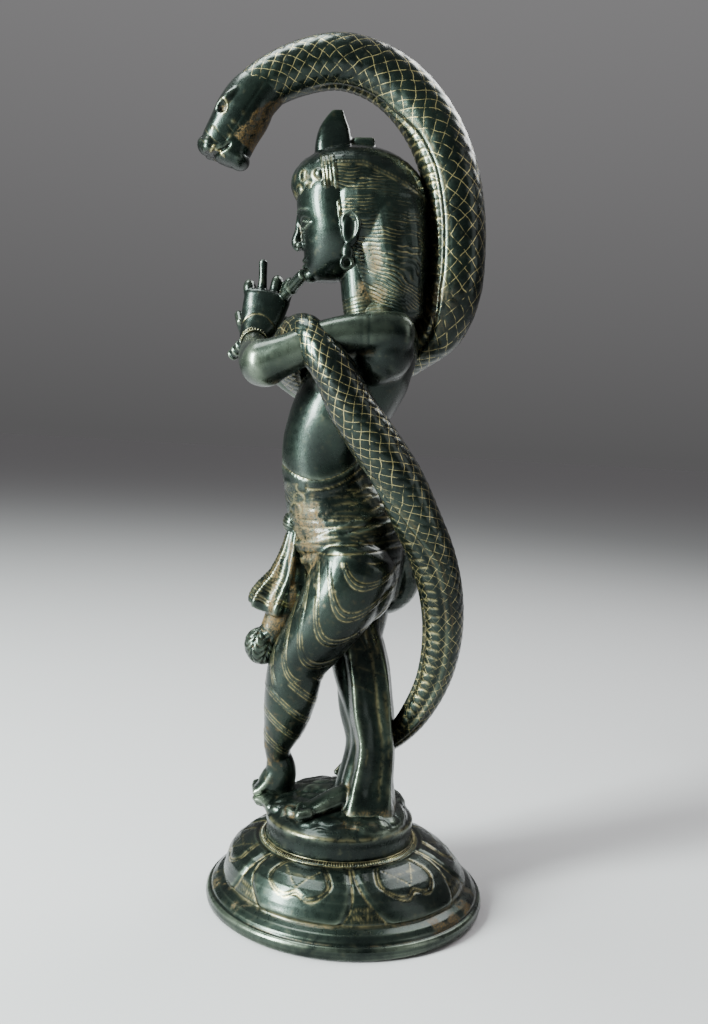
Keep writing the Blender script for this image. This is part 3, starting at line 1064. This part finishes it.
# The drum and the mound on it, which runs out to a rough ledge at the front.
def mound():
    profile = [
        (DRUM_RADIUS - 0.4, 0), (DRUM_RADIUS - 0.6, DRUM_HEIGHT * 0.5),
        (DRUM_RADIUS, DRUM_HEIGHT - DRUM_RIM), (DRUM_RADIUS - DRUM_RIM, DRUM_HEIGHT),
        (DRUM_RADIUS * 0.88, DRUM_HEIGHT + MOUND_RISE * 0.25),
        (DRUM_RADIUS * 0.78, DRUM_HEIGHT + MOUND_RISE * 0.6),
        (DRUM_RADIUS * 0.6, DRUM_HEIGHT + MOUND_RISE * 0.85),
    ]
    ledge = [
        (0, -16, 10.5, 17, 6), (-4, -26, 11.5, 15, 5.6), (-7, -33, 12.9, 12, 3.4),
        (-9, -41, 13.6, 7, 1.8),
    ]
    solids = [
        lathed(profile, 120, [0, 0, 0], [0, 0, DRUM_HEIGHT + MOUND_RISE]),
        egg([-9, 1.5, DRUM_HEIGHT + 1], [23, 30.5, 10.5]),
        egg([4, 11.5, DRUM_HEIGHT], [27.5, 20.5, 8.5]),
        sweep(ledge, dome=0.4),
    ]
    piece = fused("rocky_mound", solids, 0.84, 1)
    points = points_of(piece)
    x, y, z = points.T
    from_axis = np.hypot(x, y)
    # Rock: folds and cracks above the drum, and roughest at the ledge.
    rocky = ease(z, DRUM_HEIGHT + 0.6, DRUM_HEIGHT + 3) + ease(from_axis, DRUM_RADIUS + 0.5, DRUM_RADIUS + 2)
    rocky = np.minimum(rocky, 1) * (0.45 + 0.55 * ease(-y, -8, 22))
    folds = 1 - 2 * np.abs(streaks(points, (1, 1, 1.6), 9, 31))
    cracks = line(streaks(points, (1, 1, 2.2), 7, 33), 0.16)
    relief = rocky * (0.9 * folds + 0.4 * lumps(points, 3.2, 34) - 0.8 * cracks) + 0.06 * lumps(points, 8, 35)
    above = DRUM_HEIGHT + 4
    stain = spots(points, (0.7, (27, 8, above), (6, 12, 3)), (0.5, (14, -24, above), (7, 6, 3)))
    stain += 0.6 * rocky * cracks
    ochre = 0.8 * ease(stain + 0.4 * lumps(points, 3, 36), 0.5, 1.1) * (z > DRUM_HEIGHT + 0.5)
    edge = line(np.hypot(from_axis - DRUM_RADIUS + 0.5, z - DRUM_HEIGHT + 0.5), 0.7)
    return dress(piece, relief, 0.4 * edge, ochre, on_drum, dust=0.4)


# The bell's outer curve, as shares of its radius and height, from the flange up to the neck.
BELL = [
    (0.872, 0.39), (0.862, 0.46), (0.842, 0.56), (0.812, 0.67), (0.77, 0.77), (0.708, 0.865),
    (0.638, 0.93), (0.572, 0.965),
]


# How far down the bell's curve a height lies, 0 at the neck and 1 at the groove over the flange, and the
# curve's length.
def down_bell(z):
    bell = np.array([(r * PEDESTAL_RADIUS, h * PEDESTAL_HEIGHT) for r, h in BELL[::-1]])
    steps = np.r_[0, np.cumsum(np.linalg.norm(np.diff(bell, axis=0), axis=1))]
    return np.interp(-z, -bell[:, 1], steps / steps[-1]), steps[-1]


# The petals: a flaring outline, in it a kidney of two lobes in double line, with dotted veins in a V, and
# hatching at the foot of the gaps between the petals. "off" is in degrees from a petal's middle.
def petals(turn, share, length, radius, points):
    pitch, half_kidney = 360 / PETALS, 18
    off = (np.degrees(turn) - GAP_TURN) % pitch - pitch / 2 + lumps(points, 16, 41)
    share = share + 0.015 * lumps(points, 14, 42)
    degree = radius * math.pi / 180
    gap = 1.2 + 9.5 * share**3
    inside = (pitch / 2 - gap - np.abs(off)) * degree
    lobes = 0.71 - 0.10 * line(off, 4) - 0.28 * np.abs(off / half_kidney) ** 3
    to_side = (np.abs(off) - half_kidney + 26 * (share - 0.45) ** 2) * degree
    to_foot = (share - lobes) * length
    kidney = np.logaddexp(2 * to_side, 2 * to_foot) / 2
    fade = ease(share, 0.02, 0.08) * ease(1.0 - share, 0.0, 0.02)
    outline = line(inside, 0.38) * fade
    double = np.maximum(line(kidney, 0.32), line(kidney + 1.5, 0.32)) * ease(share, 0.05, 0.1)
    swell, inner = ease(inside, 0, 3.0), ease(-kidney, 0, 2.5)
    dots = comb(share * length, 1.25, 0.38)
    vein = line(np.abs(off) * degree - (0.52 - share) * length * 0.85, 0.4) * (share < 0.52) * (share > 0.16)
    veins = np.maximum(vein, line((share - 0.3) * length, 0.4) * (np.abs(off) < 9)) * dots * inner
    hatch = comb(off * degree, 1.0, 0.26) * comb(share * length, 3.4, 1.2) * (inside < -0.9)
    hatch = hatch * ease(share, 0.70, 0.74) * (share < 0.95)
    return swell * fade, inner * fade, outline, double, veins, hatch


def lotus_pedestal():
    bell = [(r * PEDESTAL_RADIUS, z * PEDESTAL_HEIGHT) for r, z in BELL]
    inner = [(r - WALL, z - WALL * 0.85) for r, z in bell[::2]]
    top = PEDESTAL_HEIGHT
    outside = [
        (PEDESTAL_RADIUS - 2, 0), (PEDESTAL_RADIUS - 0.4, LIP_HEIGHT * 0.14),
        (PEDESTAL_RADIUS, LIP_HEIGHT * 0.34), (PEDESTAL_RADIUS - 0.3, LIP_HEIGHT * 0.56),
        (PEDESTAL_RADIUS - 1.2, LIP_HEIGHT * 0.68), (PEDESTAL_RADIUS - 2.4, LIP_HEIGHT * 0.7),
        (PEDESTAL_RADIUS - 2.8, LIP_HEIGHT * 0.84), (PEDESTAL_RADIUS - 5, LIP_HEIGHT * 1.06),
        (PEDESTAL_RADIUS - 7.9, LIP_HEIGHT * 1.2),
        *bell,
        (bell[-1][0] - 0.6, top - 0.2),
        (bell[-1][0] - 1.4, top),
    ]
    profile = [*inner[::-1], (inner[0][0], 0), *outside]
    fine = [np.array(profile[0], float)]
    for number, (a, b) in enumerate(zip(profile, profile[1:])):
        a, b = np.array(a, float), np.array(b, float)
        steps = max(1, int(np.linalg.norm(b - a) / (0.5 if number > len(inner) else 3)))
        fine += [a + (b - a) * (k + 1) / steps for k in range(steps)]
    points, faces = lathed(fine, 560, [0, 0, top - WALL], [0, 0, top])
    piece = piece_of("petalled_pedestal", points, faces)
    normals = normals_of(piece)
    x, y, z = points.T
    radius, turn = np.hypot(x, y), np.arctan2(y, x)
    share, length = down_bell(z)
    flange = BELL[0][1] * PEDESTAL_HEIGHT
    outer = (normals[:, 2] > -0.05) * (radius > bell[-1][0] - 0.5) * (z > flange - 0.5)
    parts = petals(turn, share, length, radius, points)
    swell, lobe, outline, double, veins, hatch = (part * outer for part in parts)
    groove = line(z - flange - 0.4, 0.42) * (radius > 50) * (normals[:, 2] > -0.05)
    relief = 0.75 * swell + 0.25 * lobe + 0.08 * lumps(points, 9, 43) * outer
    relief -= 0.35 * outline + 0.3 * double + 0.25 * veins + 0.22 * hatch + 0.5 * groove
    gilt = np.maximum.reduce([0.8 * outline, 0.9 * double, 0.85 * veins, 0.7 * hatch, 0.3 * groove])
    gilt *= 0.6 + 0.4 * ease(lumps(points, 6, 44), -0.6, 0.2)
    # Dust lies on two stretches of the flange and under the neck.
    on_flange = (z > LIP_HEIGHT * 0.7) * (radius > bell[0][0]) * (normals[:, 2] > 0.2)
    by_turn = ease(np.cos(turn - 1.0), 0.8, 0.98) + 0.7 * ease(np.cos(turn + 1.15), 0.8, 0.98)
    stain = on_flange * by_turn * ease(lumps(points, 4, 45), -0.5, 0.5)
    stain += 0.4 * outer * ease(0.05 - share, 0, 0.03)
    ochre = ease(stain + 0.3 * lumps(points, 2.5, 46), 0.35, 1.1)
    # The bell leans to meet the drum, which stands off its axis.
    shift = (DRUM_SHIFT * ease(z, flange, 0.955 * PEDESTAL_HEIGHT))[:, None] * BACKWARDS
    to_frame = lambda points: (points + shift + PEDESTAL_FOOT) * MM
    return dress(piece, relief, gilt, ochre, to_frame, dust=0.5)


# A ring about Z of small bars between two wires, in mm, made by Geometry Nodes. The upper wire lies "rise"
# over the lower one and is "flare" narrower, and the bars lean with them.
def barred_ring(name, to_frame, gilt, radius, rise, flare, wire, bars, bar_size):
    tree = bpy.data.node_groups.new("barred_ring", "GeometryNodeTree")
    make = lambda kind, inputs=(), **settings: node(tree, kind, inputs, **settings).outputs[0]
    sizes = {
        "Radius": ("NodeSocketFloat", radius),
        "Rise": ("NodeSocketFloat", rise),
        "Flare": ("NodeSocketFloat", flare),
        "Lean": ("NodeSocketFloat", -math.atan2(flare, rise)),
        "Wire": ("NodeSocketFloat", wire),
        "Bars": ("NodeSocketInt", bars),
        "Bar size": ("NodeSocketVector", bar_size),
        "Metal": ("NodeSocketMaterial", BRONZE),
    }
    keys = {
        label: tree.interface.new_socket(label, in_out="INPUT", socket_type=kind).identifier
        for label, (kind, value) in sizes.items()
    }
    tree.interface.new_socket("Geometry", in_out="OUTPUT", socket_type="NodeSocketGeometry")
    given = node(tree, "NodeGroupInput").outputs
    section = make("GeometryNodeCurvePrimitiveCircle", {"Resolution": 8, "Radius": given["Wire"]})
    join = node(tree, "GeometryNodeJoinGeometry")
    for way in (0.5, -0.5):
        wide = maths(tree, "SUBTRACT", given["Radius"], maths(tree, "MULTIPLY", given["Flare"], way))
        circle = make("GeometryNodeCurvePrimitiveCircle", {"Resolution": 160, "Radius": wide})
        level = make("ShaderNodeCombineXYZ", {2: maths(tree, "MULTIPLY", given["Rise"], way)})
        skin = make("GeometryNodeCurveToMesh", {"Curve": circle, "Profile Curve": section})
        lifted = make("GeometryNodeTransform", {"Geometry": skin, "Translation": level})
        tree.links.new(lifted, join.inputs[0])
    middle = make("GeometryNodeCurvePrimitiveCircle", {"Resolution": 160, "Radius": given["Radius"]})
    places = make("GeometryNodeCurveToPoints", {"Curve": middle, "Count": given["Bars"]}, mode="COUNT")
    at = node(tree, "ShaderNodeSeparateXYZ", {0: make("GeometryNodeInputPosition")})
    turn = maths(tree, "ARCTAN2", at.outputs[1], at.outputs[0])
    bends = make("ShaderNodeCombineXYZ", {1: given["Lean"], 2: turn})
    bar = make("GeometryNodeMeshUVSphere", {"Segments": 8, "Rings": 6, "Radius": 1.0})
    bar_inputs = {
        "Points": places,
        "Instance": bar,
        "Rotation": make("FunctionNodeEulerToRotation", {0: bends}),
        "Scale": given["Bar size"],
    }
    tree.links.new(make("GeometryNodeInstanceOnPoints", bar_inputs), join.inputs[0])
    real = make("GeometryNodeRealizeInstances", {"Geometry": join.outputs[0]})
    metal = make("GeometryNodeSetMaterial", {"Geometry": real, "Material": given["Metal"]})
    tree.links.new(metal, node(tree, "NodeGroupOutput").inputs[0])
    piece = piece_of(name, np.zeros((1, 3)), [])
    ring = piece.modifiers.new("ring", "NODES")
    ring.node_group = tree
    for label, (kind, value) in sizes.items():
        ring[keys[label]] = value
    made_plain(piece)
    outward = bmesh.new()
    outward.from_mesh(piece.data)
    bmesh.ops.recalc_face_normals(outward, faces=outward.faces)
    outward.to_mesh(piece.data)
    outward.free()
    points = points_of(piece)
    rubbed = ease(lumps(points, 5, 71), -0.7, 0.1)
    finish(piece, to_frame(points), gilt * rubbed, 0.4 * (1 - rubbed), 0.2)


# A place on the figure's grid for a ring about Z, turned to lie round "axis".
def round_limb(centre, axis):
    axis = unit(np.array(axis, float))
    first = unit(np.cross(axis, SIDEWAYS))
    turned = np.stack([first, np.cross(axis, first), axis])
    return lambda points: stand(points @ turned + centre)


def rings():
    bars = {"rise": 1.3, "flare": 2.1, "wire": 0.3, "bars": 190, "bar_size": (0.38, 0.28, 1.0)}
    barred_ring("pedestal_neck_ring", on_drum, 0.6, radius=36.2, **bars)
    beads = {"rise": 2.6, "flare": 0, "wire": 0.5, "bars": 30, "bar_size": (0.8, 0.62, 0.8)}
    left = round_limb([-9.4, -48.2, 223.8], (-3, -0.4, 2))
    barred_ring("left_bracelet", left, 0.25, radius=6.0, **beads)
    right = round_limb([-47.4, -43.5, 217.5], (-0.4, -2, 1.9))
    barred_ring("right_bracelet", right, 0.25, radius=6.1, **beads)


# The camera of the photograph: 466 mm to the side, looking down a little, and turned about its own axis.
CAMERA_PLACE = Vector((0.466, AXIS.y * MM - 0.0047, 0.216))
CAMERA_DOWN, CAMERA_ROLL = math.radians(4), math.radians(3.1)
# A focal length of 1000 pixels in a picture 1024 pixels high, on a 36 mm film.
CAMERA_LENS = 36 * 1000 / 1024


def camera():
    ahead = Vector((-math.cos(CAMERA_DOWN), 0, -math.sin(CAMERA_DOWN)))
    right = Vector((0, 1, 0))
    above = right.cross(ahead)
    cosine, sine = math.cos(CAMERA_ROLL), math.sin(CAMERA_ROLL)
    turned = (cosine * right + sine * above, cosine * above - sine * right, -ahead)
    data = bpy.data.cameras.new("camera")
    data.lens = CAMERA_LENS
    made = bpy.data.objects.new("camera", data)
    bpy.context.scene.collection.objects.link(made)
    made.matrix_world = Matrix.Translation(CAMERA_PLACE) @ Matrix(turned).transposed().to_4x4()
    bpy.context.scene.camera = made


def softbox(name, place_at, aim, size, power, colour):
    data = bpy.data.lights.new(name, "AREA")
    data.shape = "RECTANGLE"
    data.size, data.size_y = size
    data.energy = power
    data.color = colour
    made = bpy.data.objects.new(name, data)
    bpy.context.scene.collection.objects.link(made)
    made.location = place_at
    made.rotation_euler = (Vector(aim) - Vector(place_at)).to_track_quat("-Z", "Y").to_euler()


# The soft lights: name, place, what it aims at, size, watts and colour.
LIGHTS = [
    ("window", (0.6, -0.98, 0.58), (0, 0, 0.2), (0.26, 0.85), 148, (0.90, 1.0, 0.96)),
    ("ceiling", (-0.1, -0.4, 1.3), (0, 0, 0.25), (0.5, 0.5), 18, (0.92, 1.0, 0.97)),
    ("far_side", (0.4, 1.0, 0.5), (0, 0, 0.22), (0.5, 0.9), 3, (1, 1, 1)),
    ("behind", (-0.55, 0.6, 1.1), (0, 0, 0.2), (0.7, 0.7), 16, (1, 1, 1)),
]
# The sky is as bright at the horizon as the far floor, and brighter above.
SKY_LOW, SKY_RISE = 0.104, 0.28


def studio():
    floor = piece_of("floor", [(-20, -20, 0), (20, -20, 0), (20, 20, 0), (-20, 20, 0)], [(0, 1, 2, 3)])
    paper = bpy.data.materials.new("pale_paper")
    paper.use_nodes = True
    shader = paper.node_tree.nodes["Principled BSDF"]
    shader.inputs["Base Color"].default_value = (0.31, 0.302, 0.31, 1)
    shader.inputs["Roughness"].default_value = 0.8
    floor.data.materials.append(paper)
    world = bpy.data.worlds.new("studio")
    world.use_nodes = True
    sky = world.node_tree
    towards = node(sky, "ShaderNodeSeparateXYZ", {0: node(sky, "ShaderNodeTexCoord").outputs["Generated"]})
    rise = maths(sky, "MAXIMUM", towards.outputs[2], 0.0)
    background = sky.nodes["Background"]
    background.inputs[0].default_value = (1.0, 0.985, 1.0, 1)
    brightness = maths(sky, "ADD", SKY_LOW, maths(sky, "MULTIPLY", rise, SKY_RISE))
    sky.links.new(brightness, background.inputs[1])
    bpy.context.scene.world = world
    for row in LIGHTS:
        softbox(*row)


camera()
studio()
figure = torso_and_arms()
hip_cloth()
trailing_cloth()
front_sash()
hands_and_flute()
face()
hair()
serpent()
serpent_head()
mound()
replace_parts(figure, "krishna_figure")
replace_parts(lotus_pedestal(), "lotus_pedestal")
rings()
